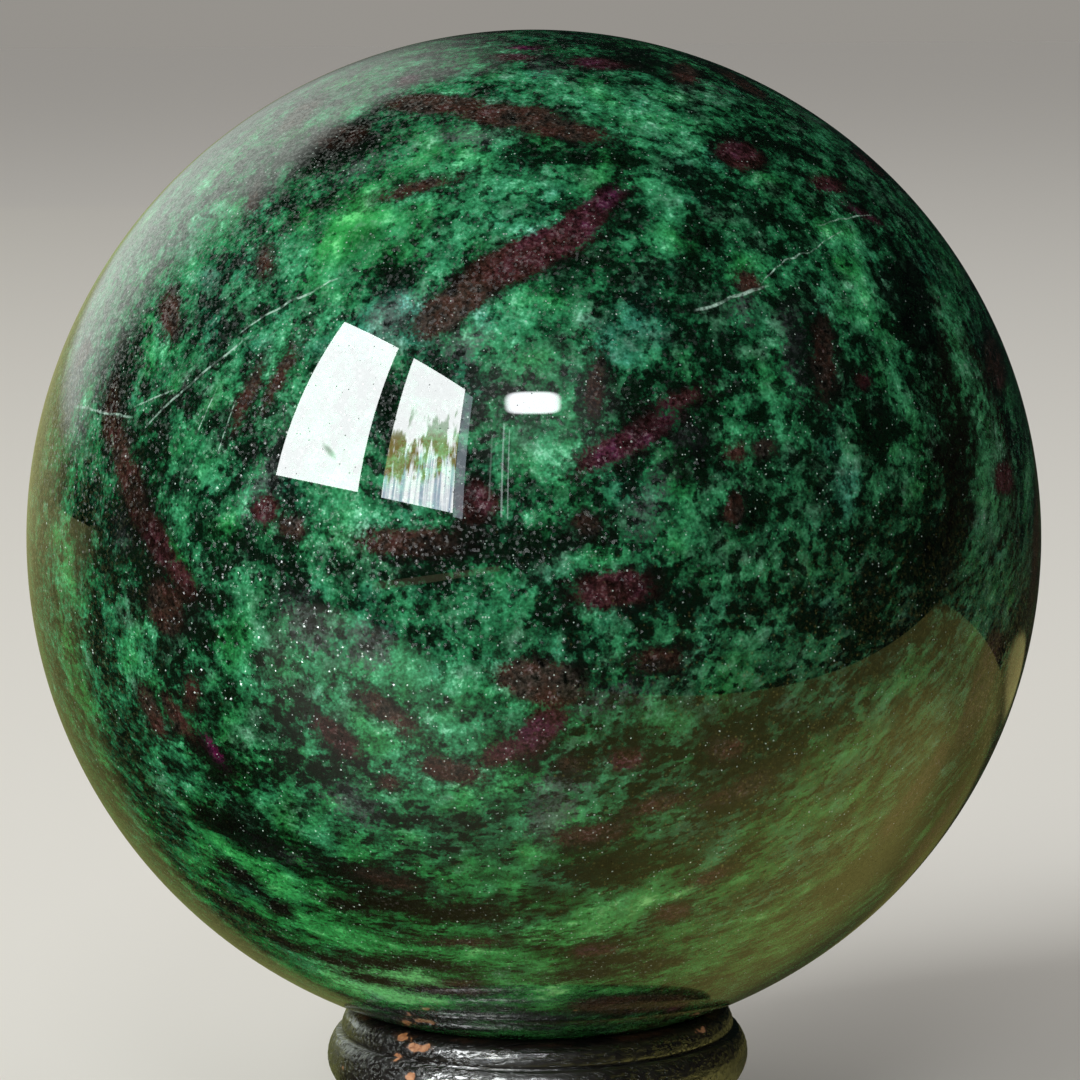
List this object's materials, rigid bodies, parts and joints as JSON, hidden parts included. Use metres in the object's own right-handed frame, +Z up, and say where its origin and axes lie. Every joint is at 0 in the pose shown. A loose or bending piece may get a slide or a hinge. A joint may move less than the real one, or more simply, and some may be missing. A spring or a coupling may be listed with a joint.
{
  "type": "decorative stone sphere on a ring stand",
  "caption": "Polished ball of green and wine-red mottled stone, resting in a turned, black-lacquered wooden ring stand.",
  "frame": {"origin": "middle of the ring stand's underside, on the surface that it stands on", "axes": "+Z up through the middles of the stand and the ball; +Y away from the viewer of the front, +X to the viewer's right"},
  "size_m": [0.1, 0.1, 0.1133],
  "materials": {
    "stone": "polished",
    "lacquered_wood": "satin"
  },
  "bodies": {
    "root": {"stone_sphere": "stone", "ring_stand": "lacquered_wood"}
  },
  "joints": []
}
